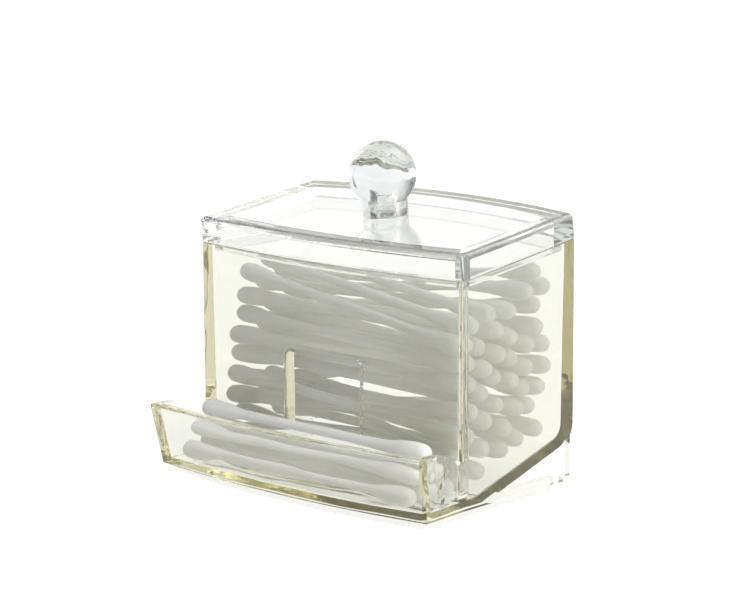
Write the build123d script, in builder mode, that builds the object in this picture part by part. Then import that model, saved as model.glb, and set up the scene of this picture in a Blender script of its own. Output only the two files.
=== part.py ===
"""A clear moulded cotton swab box: a bin with a front tray, a lid with a ball knob, and the swabs in it."""

import math
import os

from build123d import *

# Sizes in millimetres. X runs along the front, Y to the back and Z up, with the foot on Z zero.
# A swab, and the room that the bin leaves at its ends
swab_length = 75.0
swab_tip_length = 13.0
swab_tip_radius = 2.5
swab_stick_radius = 1.2
swab_nose_length = 1.6
swab_nose_radius = 1.5
swab_shoulder_length = 3.0
swab_side_count = 8
swab_end_room = 2.9

# The hopper: straight sides, front and rear walls bowed outwards, and a rim that slopes down to the front
wall = 2.6
hopper_width = swab_length + 2 * (swab_end_room + wall)
hopper_depth = 41.0
front_bow = 2.4
rear_bow = 5.0
rim_height = 56.9
rim_slope = 6.9
wall_draft = 0.8
corner_radius = 0.8
inner_corner_radius = 0.5
rim_edge_radius = 0.35

# The floor under the swabs, and the ramp that they roll down
foot_height = 2.75
floor_thickness = 2.0
ramp_start = 6.9
ramp_slope = 16.5
ramp_thickness = 2.6
ramp_bend_radius = 4.0
side_plate = 3.0
side_plate_set_in = 1.4

# The tray in front, which flares up to its lip
tray_wall = 2.6
tray_base_reach = 13.7
tray_base_flare = 0.8
tray_base_bow = 3.5
lip_height = 18.2
lip_reach = 16.7
lip_flare = 2.0
lip_bow = 2.6
lip_radius = 0.7
scoop_start = 12.5
scoop_height = 14.6
scoop_end_fall = 0.35

# The slot that the swabs roll through, and the finger notch above it
slot_height = 9.9
slot_set_in = 0.4
slot_edge_radius = 0.8
notch_width = 24.0
notch_height = 19.8
notch_radius = 2.2

# The foot: a rail under the tray's edge and the side plates
foot_inset = 2.5
foot_width = 2.4
foot_rise = 1.5
foot_rear_set_in = 6.0
plate_step_length = 2.6
plate_step_height = 1.1

# The lid, which lies on the rim with a lip inside the walls
lid_height = 6.5
lid_plate = 2.8
lid_lip_drop = 2.2
lid_lip_thickness = 2.2
lid_lip_clearance = 0.35
lid_seat_gap = 0.04
lid_edge_radius = 1.4

# The knob, and the stud on the lid that it is pressed onto
ball_radius = 8.3
ball_lift = 9.8
collar_radius = 5.6
collar_blend = 0.8
stud_radius = 2.4
stud_height = 7.0
stud_edge = 0.4
stud_clearance = 0.08
stud_end_room = 0.3

# How the swabs lie: how far each runs back from its left end to its right, and its shift to one side
swab_gap = 0.2
swab_shift = 1.2
swab_shift_spread = 0.7
station_count = 17
try_count = 34
most_hopper_swabs = 51
fill_room = 2.4
tray_places = (0.0, 1.0, 2.0, 0.5, 1.5, 1.0)
tray_slants = (0.0, 0.0, 0.0, 0.0, 0.0, -0.7)
slants = (-3.0, 9.0, 4.0, -8.0, 15.0, -1.0, 6.5, -13.0, 11.5, -5.0, 2.5)
shift_shares = (0.2, -0.9, 0.6, 1.0, -0.3, 0.8, -0.6)

# One overrun for every cut, how upright a corner's edge is, and how level the slot's edges are
overrun = 2.0
upright_share = 0.9
edge_tolerance = 0.01

# The box is centred front to back over what it covers
front_y = (lip_reach + lip_bow - hopper_depth - rear_bow) / 2
rear_y = front_y + hopper_depth
ramp_y = front_y + ramp_start
floor_top = foot_height + floor_thickness
slot_top = floor_top + slot_height
ramp_rise = math.tan(math.radians(ramp_slope))
rim_rise = math.tan(math.radians(rim_slope))
rim_cosine = math.cos(math.radians(rim_slope))
hopper_top = rim_height + rim_rise * (hopper_depth + rear_bow) + overrun
ramp_top_at_rear = floor_top + (rear_y - ramp_y) * ramp_rise
rim_plane = Plane(
    origin=(0, front_y, rim_height),
    x_dir=(1, 0, 0),
    z_dir=(0, -math.sin(math.radians(rim_slope)), rim_cosine),
)
up_from_rim = Axis(rim_plane.origin, rim_plane.z_dir)


def level(z):
    """The level plane at a height, with its origin between the hopper's front corners."""
    return Plane(origin=(0, front_y, z))


def thickened(z):
    """The wall's thickness at a height, with the draft that thickens it towards the floor."""
    return wall + (rim_height - z) * math.tan(math.radians(wall_draft))


def hopper_outline(plane, inset, depth=hopper_depth):
    """The hopper's outline on a plane, drawn in by an inset."""
    half = hopper_width / 2 - inset
    with BuildSketch(plane) as outline:
        with BuildLine():
            front = ThreePointArc((-half, inset), (0, inset - front_bow), (half, inset))
            right = Line(front @ 1, (half, depth - inset))
            rear = ThreePointArc(right @ 1, (0, depth - inset + rear_bow), (-half, depth - inset))
            Line(rear @ 1, front @ 0)
        make_face()
    return outline.sketch


def tray_outline(z, inset, back):
    """The tray's outline at a height, between its base and its lip, drawn in by an inset."""
    share = (z - foot_height) / (lip_height - foot_height)
    side = hopper_width / 2 - inset
    half = side + tray_base_flare + (lip_flare - tray_base_flare) * share
    reach = tray_base_reach + (lip_reach - tray_base_reach) * share - inset
    bow = tray_base_bow + (lip_bow - tray_base_bow) * share
    with BuildSketch(level(z)) as outline:
        with BuildLine():
            front = ThreePointArc((-half, -reach), (0, -reach - bow), (half, -reach))
            Polyline(front @ 1, (side, 0), (side, back), (-side, back), (-side, 0), front @ 0)
        make_face()
    return outline.sketch


def side_prism(points):
    """A side view, given by its corners, made solid across the box."""
    with BuildPart() as prism:
        with BuildSketch(Plane.YZ):
            with BuildLine():
                Polyline(*points, close=True)
            make_face()
        extrude(amount=hopper_width, both=True)
    return prism.part


def upright(edges):
    """The edges that stand within the walls' draft of upright."""
    return edges.filter_by(lambda edge: abs(edge.tangent_at(0.5).Z) > upright_share)


# The room for the swabs: drafted walls over the floor and the ramp, with a bend at the ramp's top
above_ramp = side_prism(
    [
        (front_y - front_bow, floor_top),
        (ramp_y, floor_top),
        (rear_y + rear_bow, ramp_top_at_rear + rear_bow * ramp_rise),
        (rear_y + rear_bow, hopper_top),
        (front_y - front_bow, hopper_top),
    ]
)
with BuildPart() as room:
    low_outline = hopper_outline(level(floor_top), thickened(floor_top))
    high_outline = hopper_outline(level(hopper_top), thickened(hopper_top))
    loft([low_outline, high_outline], ruled=True)
    add(above_ramp, mode=Mode.INTERSECT)
    long_edges = room.edges().filter_by(lambda edge: edge.length > hopper_width / 2)
    fillet(long_edges.filter_by(lambda edge: edge.center().Y > 0).group_by(Axis.Z)[0], ramp_bend_radius)
    fillet(upright(room.edges()), inner_corner_radius)

# The hopper's outside, down to the underside of its floor and ramp
under_drop = ramp_thickness * math.hypot(1, ramp_rise)
under_start = ramp_y + (foot_height - floor_top + under_drop) / ramp_rise
under_rear = foot_height + (rear_y + rear_bow + overrun - under_start) * ramp_rise
above_underside = side_prism(
    [
        (front_y - front_bow - overrun, foot_height),
        (under_start, foot_height),
        (rear_y + rear_bow + overrun, under_rear),
        (rear_y + rear_bow + overrun, hopper_top),
        (front_y - front_bow - overrun, hopper_top),
    ]
)
with BuildPart() as hopper:
    extrude(hopper_outline(level(foot_height), 0), amount=hopper_top - foot_height)
    add(above_underside, mode=Mode.INTERSECT)
    long_edges = hopper.edges().filter_by(lambda edge: edge.length > hopper_width / 2)
    rear_edge = long_edges.filter_by(lambda edge: edge.center().Y > rear_y - rear_bow).group_by(Axis.Z)[0]
    fillet(rear_edge, ramp_bend_radius + ramp_thickness)
    fillet(upright(hopper.edges()), corner_radius)
    split(bisect_by=rim_plane, keep=Keep.BOTTOM)
    fillet(hopper.faces().sort_by(up_from_rim)[-1].edges(), rim_edge_radius)

# The side plates, which carry the hopper's sides down beside the space under the ramp
plate_rear = rear_y - side_plate_set_in
with BuildPart() as side_plates:
    with BuildSketch(Plane.YZ.offset(hopper_width / 2 - side_plate)) as plate_side:
        with BuildLine():
            Polyline(
                (front_y, foot_height),
                (plate_rear - plate_step_length, foot_height),
                (plate_rear - plate_step_length, foot_height + plate_step_height),
                (plate_rear, foot_height + plate_step_height),
                (plate_rear, floor_top + (plate_rear - ramp_y) * ramp_rise),
                (front_y, floor_top),
                close=True,
            )
        make_face()
    extrude(amount=side_plate)
    mirror(about=Plane.YZ)

# The tray, with its side walls scooped down towards the hopper
with BuildPart() as above_scoop:
    with BuildSketch(Plane.YZ):
        with BuildLine():
            scoop_front = (front_y - scoop_start, lip_height)
            scoop_rear = (front_y, scoop_height)
            Spline(scoop_front, scoop_rear, tangents=[(1, 0), (1, -scoop_end_fall)])
            Polyline(
                scoop_rear,
                (front_y + wall + overrun, scoop_height),
                (front_y + wall + overrun, lip_height + overrun),
                (front_y - scoop_start, lip_height + overrun),
                scoop_front,
            )
        make_face()
    extrude(amount=hopper_width, both=True)
with BuildPart() as tray:
    loft([tray_outline(foot_height, 0, wall), tray_outline(lip_height, 0, wall)], ruled=True)
    tray_room = loft(
        [
            tray_outline(floor_top, tray_wall, wall + overrun),
            tray_outline(lip_height + overrun, tray_wall, wall + overrun),
        ],
        ruled=True,
        mode=Mode.PRIVATE,
    )
    add(tray_room, mode=Mode.SUBTRACT)
    add(above_scoop.part, mode=Mode.SUBTRACT)
    lip_edges = tray.edges().group_by(Axis.Z)[-1].filter_by(lambda edge: edge.length > hopper_width / 2)
    fillet(lip_edges, lip_radius)

# The foot: a rail that follows the tray's edge and the sides, open at the rear
foot_rear = hopper_depth - foot_rear_set_in
with BuildPart() as foot:
    rail_outside = tray_outline(foot_height, foot_inset, foot_rear)
    rail_inside = tray_outline(foot_height, foot_inset + foot_width, foot_rear + overrun)
    extrude(rail_outside, amount=-foot_height)
    extrude(rail_outside, amount=foot_rise)
    extrude(rail_inside, amount=-foot_height, mode=Mode.SUBTRACT)
    extrude(rail_inside, amount=foot_rise, mode=Mode.SUBTRACT)

# The bin, moulded in one piece: tray, hopper, side plates and foot, with the slot and the finger notch
slot_half = hopper_width / 2 - thickened(floor_top) - slot_set_in
with BuildPart() as bin_shell:
    add(hopper.part)
    add(side_plates.part)
    add(tray.part)
    add(room.part, mode=Mode.SUBTRACT)
    add(foot.part)
    with BuildSketch(Plane.XZ.offset(-front_y - wall - overrun)) as opening:
        with BuildLine():
            Polyline(
                (-slot_half, floor_top),
                (slot_half, floor_top),
                (slot_half, slot_top),
                (notch_width / 2, slot_top),
                (notch_width / 2, slot_top + notch_height),
                (-notch_width / 2, slot_top + notch_height),
                (-notch_width / 2, slot_top),
                (-slot_half, slot_top),
                close=True,
            )
        make_face()
        fillet(opening.vertices(), notch_radius)
    extrude(amount=wall + 2 * overrun + front_bow, mode=Mode.SUBTRACT)
    slot_edges = bin_shell.edges().filter_by(lambda edge: abs(edge.center().Z - slot_top) < edge_tolerance)
    fillet(slot_edges.filter_by(GeomType.CIRCLE), slot_edge_radius)
bin_shell.part.label = "bin"

# The lid: a plate in a thick rim, square to the slope, with an upright lip that goes down inside the walls
lid_depth = hopper_depth / rim_cosine
lip_outside = wall + lid_lip_clearance
lip_inside = lip_outside + lid_lip_thickness
lip_start = level(rim_height - lid_lip_drop - overrun)
lid_underside = rim_plane.offset(lid_height - lid_plate)
knob_plane = Plane(
    origin=rim_plane.from_local_coords((0, (lid_depth + rear_bow - front_bow) / 2, lid_height)),
    x_dir=rim_plane.x_dir,
    z_dir=rim_plane.z_dir,
)
with BuildPart() as lid_lip:
    extrude(hopper_outline(lip_start, lip_outside), amount=hopper_top)
    split(bisect_by=rim_plane.offset(-lid_lip_drop), keep=Keep.TOP)
    split(bisect_by=lid_underside, keep=Keep.BOTTOM)
    fillet(upright(lid_lip.edges()), corner_radius)
with BuildPart() as lid_room:
    extrude(hopper_outline(lip_start, lip_inside), amount=hopper_top)
    split(bisect_by=lid_underside, keep=Keep.BOTTOM)
with BuildPart() as lid:
    extrude(hopper_outline(rim_plane.offset(lid_seat_gap), 0, lid_depth), amount=lid_height - lid_seat_gap)
    fillet(upright(lid.edges()), corner_radius)
    fillet(lid.faces().sort_by(up_from_rim)[-1].edges(), lid_edge_radius)
    fillet(lid.faces().sort_by(up_from_rim)[0].edges(), rim_edge_radius)
    add(lid_lip.part)
    add(lid_room.part, mode=Mode.SUBTRACT)
    with BuildSketch(knob_plane):
        Circle(stud_radius)
    extrude(amount=stud_height)
    chamfer(lid.edges().filter_by(GeomType.CIRCLE).sort_by(Axis.Z)[-1], stud_edge)
lid.part.label = "lid"

# The knob: a ball on a collar, bored from below for the stud
with BuildPart() as knob:
    with BuildSketch(Plane(origin=knob_plane.origin, x_dir=knob_plane.x_dir, z_dir=-knob_plane.y_dir)):
        with Locations((0, ball_lift)):
            Circle(ball_radius)
        with Locations((0, ball_lift / 2)):
            Rectangle(2 * collar_radius, ball_lift)
        split(bisect_by=Plane.YZ, keep=Keep.TOP)
    revolve(axis=Axis(knob_plane.origin, knob_plane.z_dir))
    collar_edges = knob.edges().filter_by(GeomType.CIRCLE).filter_by(lambda edge: edge.is_closed)
    fillet(collar_edges.sort_by(Axis.Z)[-1], collar_blend)
    with BuildSketch(knob_plane.offset(-overrun)):
        Circle(stud_radius + stud_clearance)
    extrude(amount=overrun + stud_height + stud_end_room, mode=Mode.SUBTRACT)
knob.part.label = "knob"

# The swabs: each comes to rest as a straight rod on the floor, the ramp or the swabs already placed
tip_start = swab_length / 2 - swab_tip_length
station_reach = swab_length / 2 + swab_shift + swab_shift_spread
stations = [station_reach * (2 * index / (station_count - 1) - 1) for index in range(station_count)]
tip_bow_share = 1 - (swab_length / hopper_width) ** 2
room_front = front_y + thickened(floor_top) - front_bow * tip_bow_share
room_rear = rear_y - thickened(floor_top) + rear_bow * tip_bow_share
bend_y = rear_y - thickened(floor_top) - ramp_bend_radius
bend_z = floor_top + (bend_y - ramp_y) * ramp_rise + ramp_bend_radius * math.hypot(1, ramp_rise)


def radius_at(place):
    """A swab's radius at a place along it, or none past its ends."""
    if abs(place) > swab_length / 2:
        return None
    return swab_tip_radius if abs(place) > tip_start else swab_stick_radius


def lowest_centre(y, radius):
    """The height of a rod's middle line where it lies on the floor, the ramp or the bend at the ramp's top."""
    clear = radius + swab_gap / 2
    heights = [floor_top + clear, floor_top + (y - ramp_y) * ramp_rise + clear * math.hypot(1, ramp_rise)]
    if y > bend_y:
        play = ramp_bend_radius - clear
        heights.append(bend_z - math.sqrt(max(play**2 - (y - bend_y) ** 2, 0)))
    return max(heights)


def settle(left_y, slant, shift, placed):
    """How a swab rests: the height of its middle and its rise per length."""
    needed = []
    for index, station in enumerate(stations):
        place = station - shift
        radius = radius_at(place)
        if radius is None:
            continue
        y = left_y + slant * (place / swab_length + 1 / 2)
        height = lowest_centre(y, radius)
        for line in placed:
            other_y, other_z, other_radius = line[index]
            if other_radius is None:
                continue
            reach = radius + other_radius + swab_gap
            if abs(y - other_y) < reach:
                height = max(height, other_z + math.sqrt(reach**2 - (y - other_y) ** 2))
        needed.append((place, height))
    best = (-math.inf, 0)
    for left, left_height in needed:
        for right, right_height in needed:
            if left <= 0 < right:
                middle = (left_height * right - right_height * left) / (right - left)
                best = max(best, (middle, (right_height - left_height) / (right - left)))
    return best


def place_swab(left_y, slant, shift, placed):
    """Note where a settled swab lies, and return its middle and its direction."""
    height, rise = settle(left_y, slant, shift, placed)
    middle = Vector(shift, left_y + slant / 2, height)
    direction = Vector(1, slant / swab_length, rise)
    line = [middle + direction * (station - shift) for station in stations]
    placed.append([(point.Y, point.Z, radius_at(point.X - shift)) for point in line])
    return middle, direction


def room_over(left_y, slant, shift, placed):
    """The room left between a settled swab's higher end and the rim."""
    height, rise = settle(left_y, slant, shift, placed)
    rim_here = rim_height + rim_rise * (min(left_y, left_y + slant) - front_y)
    return rim_here - height - abs(rise) * swab_length / 2 - swab_tip_radius


def lowest_place(low, high, slant, shift, placed):
    """Where a slanted swab comes to rest lowest in the hopper."""
    places = [low + (high - low) * step / (try_count - 1) for step in range(try_count)]
    fitting = [left_y for left_y in places if low <= left_y + slant <= high]
    return min(fitting, key=lambda left_y: settle(left_y, slant, shift, placed)[0])


def tray_front(x, z):
    """The inner face of the tray's front wall at a place."""
    share = (z - foot_height) / (lip_height - foot_height)
    half = hopper_width / 2 + tray_base_flare + (lip_flare - tray_base_flare) * share
    reach = tray_base_reach + (lip_reach - tray_base_reach) * share
    bow = tray_base_bow + (lip_bow - tray_base_bow) * share
    return front_y + tray_wall - reach - bow * (1 - (x / half) ** 2)


def make_swab(middle, direction):
    """One swab: a stick with a wound tip at each end, in one solid."""
    half_length = swab_length / 2
    profile = (
        (half_length, swab_nose_radius),
        (half_length - swab_nose_length, swab_tip_radius),
        (tip_start + swab_shoulder_length, swab_tip_radius),
        (tip_start, swab_stick_radius),
    )
    across_swab = Plane(origin=middle, x_dir=(0, 1, 0), z_dir=direction)
    sections = [(-place, radius) for place, radius in profile] + list(reversed(profile))
    with BuildPart() as swab:
        for place, radius in sections:
            with BuildSketch(across_swab.offset(place)):
                RegularPolygon(radius, swab_side_count)
        loft(ruled=True)
    return swab.part


tip_place = swab_length / 2 - swab_nose_length
tray_low = tray_front(tip_place, floor_top + swab_tip_radius) + swab_tip_radius + 2 * swab_gap
tray_high = front_y - front_bow - swab_tip_radius - swab_gap
tray_pitch = 2 * swab_tip_radius + swab_gap + edge_tolerance
hopper_low = room_front + swab_tip_radius + swab_gap
hopper_high = room_rear - swab_tip_radius - swab_gap
placed = []
swab_lines = []
for place, slant in zip(tray_places, tray_slants):
    left_y = tray_low + tray_pitch * place
    if settle(left_y, slant, 0, placed)[0] + swab_tip_radius > slot_top:
        left_y = min(left_y, tray_high)
    swab_lines.append(place_swab(left_y, slant, 0, placed))
for index in range(most_hopper_swabs):
    slant = slants[index % len(slants)]
    height_share = index / most_hopper_swabs
    shift = swab_shift * (2 * height_share - 1) + swab_shift_spread * shift_shares[index % len(shift_shares)]
    left_y = lowest_place(hopper_low, hopper_high, slant, shift, placed)
    if room_over(left_y, slant, shift, placed) > fill_room:
        swab_lines.append(place_swab(left_y, slant, shift, placed))
swabs = [make_swab(middle, direction) for middle, direction in swab_lines]
for number, swab in enumerate(swabs, start=1):
    swab.label = f"swab_{number:02d}"

os.makedirs("parts", exist_ok=True)
for piece in [bin_shell.part, lid.part, knob.part, *swabs]:
    export_step(piece, f"parts/{piece.label}.step")
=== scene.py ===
# %% [markdown]
# The box of cotton swabs is clear, so nearly all of its look is light that bends through it.
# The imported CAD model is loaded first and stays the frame: the bin, the lid and the knob keep
# their own meshes and get clear plastic, and each plain CAD swab gives its place to a finished one.

# %% Load the frame
import math
import bpy
from mathutils import Matrix, Vector


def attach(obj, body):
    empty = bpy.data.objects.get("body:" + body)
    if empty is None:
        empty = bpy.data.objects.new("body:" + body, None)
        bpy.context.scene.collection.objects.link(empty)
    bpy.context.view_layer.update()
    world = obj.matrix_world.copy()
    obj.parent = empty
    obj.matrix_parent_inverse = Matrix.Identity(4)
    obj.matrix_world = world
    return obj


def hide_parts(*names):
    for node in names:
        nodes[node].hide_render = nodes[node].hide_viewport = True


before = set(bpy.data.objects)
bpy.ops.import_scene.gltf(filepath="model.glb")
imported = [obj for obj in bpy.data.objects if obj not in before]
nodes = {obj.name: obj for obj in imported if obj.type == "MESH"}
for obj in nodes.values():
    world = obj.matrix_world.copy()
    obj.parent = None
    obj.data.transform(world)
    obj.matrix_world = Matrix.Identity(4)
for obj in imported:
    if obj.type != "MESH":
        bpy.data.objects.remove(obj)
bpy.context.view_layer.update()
bpy.ops.object.select_all(action="DESELECT")
mm = 0.001

# %% [markdown]
# No surface here is perfectly even: moulded plastic is faintly wavy, and cotton has a fine grain.
# Both can come from one kind of noise. It could be laid on a UV map, but these solids have none.
# So the noise reads the object's own coordinates, where it stays put when the lid lifts, and a
# Mapping node stretches it along one direction.

# %% Noise and bump


def object_noise(tree, size, stretch, detail):
    """A noise fixed to the object. Its spots are about size wide before they are stretched."""
    place = tree.nodes.new("ShaderNodeTexCoord")
    mapping = tree.nodes.new("ShaderNodeMapping")
    mapping.inputs["Scale"].default_value = stretch
    noise = tree.nodes.new("ShaderNodeTexNoise")
    noise.inputs["Scale"].default_value = 1 / size
    noise.inputs["Detail"].default_value = detail
    tree.links.new(place.outputs["Object"], mapping.inputs["Vector"])
    tree.links.new(mapping.outputs["Vector"], noise.inputs["Vector"])
    return noise.outputs["Fac"]


def bend_surface(tree, height, distance):
    """A bump on the main shader, from a height between 0 and 1."""
    bump = tree.nodes.new("ShaderNodeBump")
    bump.inputs["Distance"].default_value = distance
    tree.links.new(height, bump.inputs["Height"])
    tree.links.new(bump.outputs["Normal"], tree.nodes["Principled BSDF"].inputs["Normal"])


print("helpers for noise and bump are ready")

# %% [markdown]
# Light that enters cotton, paper or a hazy plastic comes out again on the far side. True scattering
# inside the volume would do it and takes long to render. A share of a Translucent shader beside the
# main one lights the side that is turned away from the light just as well, at almost no cost.

# %% Light through a surface


def let_light_through(tree, share):
    """Mix a share of Translucent into the main shader, and return the Translucent node."""
    through = tree.nodes.new("ShaderNodeBsdfTranslucent")
    both = tree.nodes.new("ShaderNodeMixShader")
    both.inputs["Fac"].default_value = share
    tree.links.new(tree.nodes["Principled BSDF"].outputs["BSDF"], both.inputs[1])
    tree.links.new(through.outputs["BSDF"], both.inputs[2])
    tree.links.new(both.outputs["Shader"], tree.nodes["Material Output"].inputs["Surface"])
    return through


print("helper for translucent light is ready")

# %% [markdown]
# A moulded clear plastic is a Principled shader with full transmission. A Glass shader bends light
# the same way, but a Principled one also carries over when the model is exported. The colour is in
# the depth: a thin wall looks clear, and an edge, where light has travelled along the sheet, looks
# yellow or green. A Volume Absorption node does that. The tint at the surface is slight and darkens
# what is seen through two walls. A wide, faint bump bends the lines seen through a wall, as a
# mould's own polish does, and a trace of haze stands for handling.

# %% Clear plastic
plastic_index = 1.5
wave_detail = 1.0


def clear_plastic(name, tint, depth_colour, depth_density, wave, haze):
    """A clear moulded plastic. The wave is its size, its stretch and its height."""
    material = bpy.data.materials.new(name)
    material.use_nodes = True
    tree = material.node_tree
    surface = tree.nodes["Principled BSDF"]
    surface.inputs["Base Color"].default_value = (*tint, 1)
    surface.inputs["Roughness"].default_value = 0.0
    surface.inputs["IOR"].default_value = plastic_index
    surface.inputs["Transmission Weight"].default_value = 1.0
    wave_size, wave_stretch, wave_height = wave
    bend_surface(tree, object_noise(tree, wave_size, wave_stretch, wave_detail), wave_height)
    let_light_through(tree, haze)
    depth = tree.nodes.new("ShaderNodeVolumeAbsorption")
    depth.inputs["Color"].default_value = (*depth_colour, 1)
    depth.inputs["Density"].default_value = depth_density
    tree.links.new(depth.outputs["Volume"], tree.nodes["Material Output"].inputs["Volume"])
    print("plastic:", name, "with a wave", round(wave_height / mm, 2), "mm high")
    return material


# %% [markdown]
# The bin's plastic is the yellowest: its upright edges look like pale straw. Blue is taken up most
# on the way through, so the absorption colour is low in blue.

# %% The bin's plastic
bin_plastic = clear_plastic(
    "clear_bin",
    tint=(0.935, 0.94, 0.915),
    depth_colour=(0.54, 0.49, 0.12),
    depth_density=22.0,
    wave=(14 * mm, (0.5, 1, 1), 0.35 * mm),
    haze=0.012,
)
nodes["bin"].material_slots[0].material = bin_plastic

# %% [markdown]
# The tray's thick walls make the swabs behind them look streaky, far more than the hopper's thin
# wall does. A second material on the tray's faces would do, but the bin is one moulding and the
# change would show as a seam. So the same material gets a second, stronger wave, which a Map Range
# node fades in from the hopper's front wall forwards.

# %% The tray's wave
tray_wave_size = 9 * mm
tray_wave_stretch = (0.35, 1.6, 1.3)
tray_wave_strength = 2.0
fade_start_y = -15 * mm
fade_end_y = -20 * mm


def add_tray_wave(material):
    """Add the tray's stronger wave to the wave that a clear plastic has all over."""
    tree = material.node_tree
    height = next(node for node in tree.nodes if node.type == "BUMP").inputs["Height"]
    even_wave = height.links[0].from_socket
    place = tree.nodes.new("ShaderNodeTexCoord")
    split = tree.nodes.new("ShaderNodeSeparateXYZ")
    fade = tree.nodes.new("ShaderNodeMapRange")
    fade.inputs["From Min"].default_value = fade_start_y
    fade.inputs["From Max"].default_value = fade_end_y
    fade.inputs["To Max"].default_value = tray_wave_strength
    total = tree.nodes.new("ShaderNodeMath")
    total.operation = "MULTIPLY_ADD"
    tree.links.new(place.outputs["Object"], split.inputs["Vector"])
    tree.links.new(split.outputs["Y"], fade.inputs["Value"])
    ripple = object_noise(tree, tray_wave_size, tray_wave_stretch, wave_detail)
    tree.links.new(ripple, total.inputs[0])
    tree.links.new(fade.outputs["Result"], total.inputs[1])
    tree.links.new(even_wave, total.inputs[2])
    tree.links.new(total.outputs["Value"], height)


add_tray_wave(bin_plastic)
print("nodes in the bin's plastic:", len(bin_plastic.node_tree.nodes))

# %% [markdown]
# The lid is a cooler, greener plastic than the bin, nearly flat and polished. The knob is cast, and
# the inside of the real one looks broken up. Flaws could be modelled inside it, but they are too
# small to make out, so a high wave on its surface breaks up what is seen through the ball instead.

# %% The lid's and the knob's plastic
lid_plastic = clear_plastic(
    "clear_lid",
    tint=(0.965, 0.97, 0.96),
    depth_colour=(0.60, 0.65, 0.61),
    depth_density=15.0,
    wave=(30 * mm, (0.5, 1, 1), 0.12 * mm),
    haze=0.03,
)
knob_plastic = clear_plastic(
    "clear_knob",
    tint=(0.97, 0.98, 0.97),
    depth_colour=(0.52, 0.58, 0.56),
    depth_density=30.0,
    wave=(4.5 * mm, (1.1, 1.1, 0.6), 1.2 * mm),
    haze=0.02,
)
nodes["lid"].material_slots[0].material = lid_plastic
nodes["knob"].material_slots[0].material = knob_plastic

# %% [markdown]
# Cotton is matt and scatters light between its fibres, so it is a rough Principled shader with
# sheen, a fine bump, and a share of light that comes through. Wound on a stick, its fibres run
# mostly round it, so the noise is squeezed along the box's width, the way the swabs lie. Rolled
# paper is the same white, only smoother, so one function makes both. Hair strands would be truer
# for cotton, but at this distance a tip shows no single fibre.

# %% Cotton and paper
matt_roughness = 0.95
matt_specular = 0.2
grain_detail = 4.0
grain_darkening = 0.93


def matt_white(name, colour, grain, sheen, see_through):
    """A matt white with a fine grain, given as its size, its stretch and its height."""
    material = bpy.data.materials.new(name)
    material.use_nodes = True
    tree = material.node_tree
    surface = tree.nodes["Principled BSDF"]
    surface.inputs["Roughness"].default_value = matt_roughness
    surface.inputs["Specular IOR Level"].default_value = matt_specular
    surface.inputs["Sheen Weight"].default_value = sheen
    grain_size, grain_stretch, grain_height = grain
    noise = object_noise(tree, grain_size, grain_stretch, grain_detail)
    bend_surface(tree, noise, grain_height)
    through = let_light_through(tree, see_through)
    shade = tree.nodes.new("ShaderNodeValToRGB")
    shade.color_ramp.elements[0].color = (*[grain_darkening * part for part in colour], 1)
    shade.color_ramp.elements[1].color = (*colour, 1)
    tree.links.new(noise, shade.inputs["Fac"])
    tree.links.new(shade.outputs["Color"], surface.inputs["Base Color"])
    tree.links.new(shade.outputs["Color"], through.inputs["Color"])
    print("matt white:", name, "with a grain", round(grain_height / mm, 2), "mm high")
    return material


cotton = matt_white(
    "wound_cotton",
    colour=(0.98, 0.98, 0.96),
    grain=(1.6 * mm, (2.5, 1, 1), 0.25 * mm),
    sheen=1.0,
    see_through=0.35,
)
paper = matt_white(
    "paper_stick",
    colour=(0.97, 0.97, 0.95),
    grain=(4 * mm, (1, 1, 1), 0.05 * mm),
    sheen=0.2,
    see_through=0.3,
)

# %% [markdown]
# A cotton tip has a blunt rounded end, a full middle, and a long taper down to the stick. A Screw or
# Spin of this outline would make the same shape, but it leaves loose points where the outline meets
# the axis. Extruding a ring along the axis, with a new radius at each step, keeps the mesh closed.

# %% A swab's outline
swab_length = 75 * mm
# Each point is a distance from the swab's end and a radius, in mm, from the end to the stick.
tip_outline = [
    (0.0, 0.9),
    (0.35, 1.55),
    (1.1, 2.15),
    (2.4, 2.42),
    (4.6, 2.45),
    (7.4, 2.25),
    (10.0, 1.9),
    (12.2, 1.5),
    (13.4, 1.22),
]
rings = [(-swab_length / 2 + along * mm, radius * mm) for along, radius in tip_outline]
rings += [(-along, radius) for along, radius in reversed(rings)]
print("rings along a swab:", len(rings))

# %% [markdown]
# The swab is modelled once, lying along X about the middle. It starts as a filled circle at its left
# end. Few sides are enough, because one Subdivision Surface level rounds them and the swab is
# copied many times. The face between the two tips is paper, and the rest is cotton.

# %% One swab
swab_sides = 10
stick_half = 0.3 * swab_length
cotton_slot, paper_slot = 0, 1


def extrude_rings():
    """From the selected first ring, extrude and scale to each ring in turn."""
    for (here, radius), (there, next_radius) in zip(rings, rings[1:]):
        bpy.ops.mesh.extrude_region_move(
            TRANSFORM_OT_translate={"value": (there - here, 0, 0)}
        )
        share = next_radius / radius
        bpy.ops.transform.resize(value=(1, share, share), center_override=(there, 0, 0))


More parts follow.
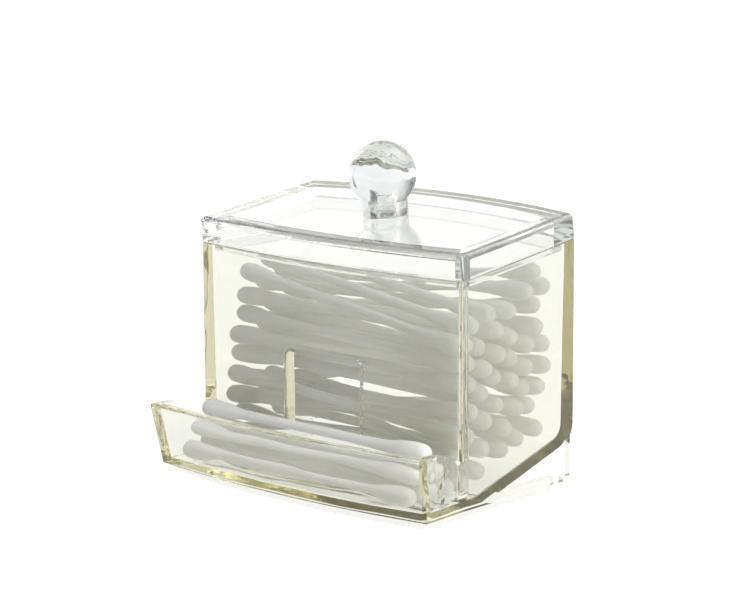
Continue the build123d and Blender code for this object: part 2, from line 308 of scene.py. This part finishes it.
def make_swab():
    """One swab about the origin, lying along X."""
    start, start_radius = rings[0]
    bpy.ops.mesh.primitive_circle_add(
        vertices=swab_sides,
        radius=start_radius,
        fill_type="NGON",
        location=(start, 0, 0),
        rotation=(0, math.pi / 2, 0),
    )
    swab = bpy.context.object
    bpy.ops.object.transform_apply(location=True, rotation=True, scale=True)
    bpy.ops.object.mode_set(mode="EDIT")
    bpy.ops.mesh.select_all(action="SELECT")
    extrude_rings()
    bpy.ops.mesh.select_all(action="SELECT")
    bpy.ops.mesh.normals_make_consistent(inside=False)
    bpy.ops.object.mode_set(mode="OBJECT")
    bpy.ops.object.shade_smooth()
    swab.data.materials.append(cotton)
    swab.data.materials.append(paper)
    for face in swab.data.polygons:
        on_stick = abs(face.center.x) < stick_half
        face.material_index = paper_slot if on_stick else cotton_slot
    rounding = swab.modifiers.new("rounding", "SUBSURF")
    rounding.levels = 1
    rounding.render_levels = 1
    bpy.ops.object.modifier_apply(modifier=rounding.name)
    return swab


pattern = make_swab()
print("faces in one swab:", len(pattern.data.polygons))

# %% [markdown]
# Each finished swab lies exactly where its CAD swab does. Its place could be typed in again, but it
# is safer to read it: the two blunt ends of the CAD mesh give the axis. A different turn about that
# axis keeps the copies from looking alike.

# %% Where a CAD swab lies
end_depth = 0.8 * mm


def end_middle(mesh, right):
    """The middle of a CAD swab's left or right end."""
    places = {tuple(round(value, 6) for value in vertex.co) for vertex in mesh.vertices}
    end = max(place[0] for place in places) if right else min(place[0] for place in places)
    flat = [Vector(place) for place in places if abs(place[0] - end) < end_depth]
    return sum(flat, Vector()) / len(flat)


swab_nodes = sorted(name for name in nodes if name.startswith("swab_"))
print("CAD swabs found:", len(swab_nodes))

# %% [markdown]
# A copy gets its own mesh, with its place in the mesh and the object left at the origin. It rides
# on the bin's body, because the swabs rest in the bin when the lid is lifted.

# %% A swab in each CAD swab's place
turn_per_swab = 2.4


def lay_swab(number, node):
    """A copy of the swab along a CAD swab's axis."""
    left, right = end_middle(node.data, False), end_middle(node.data, True)
    along_axis = (right - left).to_track_quat("X", "Z").to_matrix().to_4x4()
    own_turn = Matrix.Rotation(number * turn_per_swab, 4, "X")
    mesh = pattern.data.copy()
    mesh.transform(Matrix.Translation((left + right) / 2) @ along_axis @ own_turn)
    swab = bpy.data.objects.new(f"finished_{node.name}", mesh)
    bpy.context.scene.collection.objects.link(swab)
    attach(swab, "bin_body")
    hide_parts(node.name)
    return swab


finished_swabs = [lay_swab(number, nodes[name]) for number, name in enumerate(swab_nodes)]
bpy.data.objects.remove(pattern)
print("swabs laid:", len(finished_swabs))

# %% [markdown]
# Everything around the box is white, and no shadow is left on the table. Such a picture is taken on
# a lit table. A floor lit only by lamps would need them very bright, and the cotton would burn out,
# so the floor gives off most of its own light.

# %% A lit table
floor_width = 6.0
floor_grey = 0.2
floor_glow = 0.93

bpy.ops.mesh.primitive_plane_add(size=floor_width, location=(0, 0, 0))
floor = bpy.context.object
floor.name = "floor"
floor_paint = bpy.data.materials.new("lit_table")
floor_paint.use_nodes = True
floor_surface = floor_paint.node_tree.nodes["Principled BSDF"]
floor_surface.inputs["Base Color"].default_value = (floor_grey, floor_grey, floor_grey, 1)
floor_surface.inputs["Roughness"].default_value = 1.0
floor_surface.inputs["Specular IOR Level"].default_value = 0.0
floor_surface.inputs["Emission Color"].default_value = (1, 1, 1, 1)
floor_surface.inputs["Emission Strength"].default_value = floor_glow
floor.data.materials.append(floor_paint)
print("floor glow:", floor_glow)

# %% [markdown]
# The edges of clear plastic only show where they bend light from something darker. Black cards at
# the sides would do this in a studio. Here the room itself is a smooth grey that follows the line of
# sight: dark in front and to the left, bright behind and to the right.

# %% A grey that follows a direction


def sky_ramp(tree, direction, stops):
    """A grey that follows how far a line of sight leans towards a direction, from -1 to 1."""
    place = tree.nodes.new("ShaderNodeTexCoord")
    lean = tree.nodes.new("ShaderNodeVectorMath")
    lean.operation = "DOT_PRODUCT"
    lean.inputs[1].default_value = Vector(direction).normalized()
    span = tree.nodes.new("ShaderNodeMapRange")
    span.inputs["From Min"].default_value = -1.0
    span.inputs["From Max"].default_value = 1.0
    ramp = tree.nodes.new("ShaderNodeValToRGB")
    for element, (lean_here, grey) in zip(ramp.color_ramp.elements, stops):
        element.position = (lean_here + 1) / 2
        element.color = (grey, grey, grey, 1)
    tree.links.new(place.outputs["Generated"], lean.inputs[0])
    tree.links.new(lean.outputs["Value"], span.inputs["Value"])
    tree.links.new(span.outputs["Result"], ramp.inputs["Fac"])
    return ramp.outputs["Color"]


print("helper for the room's grey is ready")

# %% [markdown]
# The first grey is the room, and the second is a soft light above and to the right, which models
# the round tips of the swabs. An area lamp there would also show as a hard square in every pane,
# and a wide patch of sky doesn't.

# %% The room's light
dark_side = (-0.25, -0.95, 0.1)
dark_side_stops = [(-0.3, 0.38), (0.35, 0.06)]
soft_light = (0.7, 0.1, 1.0)
soft_light_stops = [(0.6, 0.0), (0.9, 0.85)]
room_strength = 3.0

world = bpy.data.worlds.new("studio")
bpy.context.scene.world = world
world.use_nodes = True
world_tree = world.node_tree
room = world_tree.nodes.new("ShaderNodeMix")
room.data_type = "RGBA"
room.blend_type = "ADD"
room.inputs["Factor"].default_value = 1.0
room_grey = sky_ramp(world_tree, dark_side, dark_side_stops)
light_grey = sky_ramp(world_tree, soft_light, soft_light_stops)
sky = world_tree.nodes["Background"]
sky.inputs["Strength"].default_value = room_strength
world_tree.links.new(room_grey, room.inputs["A"])
world_tree.links.new(light_grey, room.inputs["B"])
world_tree.links.new(room.outputs["Result"], sky.inputs["Color"])
print("room strength:", room_strength)

# %% [markdown]
# Inside a clear wall, light is thrown back from face to face until it leaves by an edge. Cycles
# counts each such throw as a glossy bounce, and a path that runs out of bounces turns black, which
# shows as black edges. So the limits are far above the usual ones. Light between the swabs also
# needs many diffuse bounces, or the inside of the pile turns grey too soon.

# %% Bounces of light and colour
scene = bpy.context.scene
scene.cycles.max_bounces = 128
scene.cycles.transmission_bounces = 128
scene.cycles.glossy_bounces = 128
scene.cycles.diffuse_bounces = 24
scene.cycles.transparent_max_bounces = 32
scene.view_settings.view_transform = "Standard"
scene.view_settings.look = "None"
print("most bounces:", scene.cycles.max_bounces)

# %% [markdown]
# The camera stands low and to the right of the front, with a long lens, as in the photograph. Its
# target, distance and angles were fitted to the corners of the box. A wider lens from nearby would
# spread those corners too far.

# %% Camera
target = Vector((-7.35, 11.65, 42.95)) * mm
camera_distance = 676.4 * mm
azimuth = math.radians(42.40)
elevation = math.radians(10.80)
roll = math.radians(-0.28)
back = Vector(
    (
        math.sin(azimuth) * math.cos(elevation),
        -math.cos(azimuth) * math.cos(elevation),
        math.sin(elevation),
    )
)
bpy.ops.object.camera_add(location=target + back * camera_distance)
camera = bpy.context.object
level_turn = (-back).to_track_quat("-Z", "Y").to_matrix()
camera.rotation_euler = (level_turn @ Matrix.Rotation(roll, 3, "Z")).to_euler()
camera.data.sensor_width = 36
camera.data.lens = 130.73
camera.data.clip_start = 0.01
camera.data.clip_end = 20
bpy.context.scene.camera = camera
print("camera at mm:", [round(value / mm, 1) for value in camera.location])
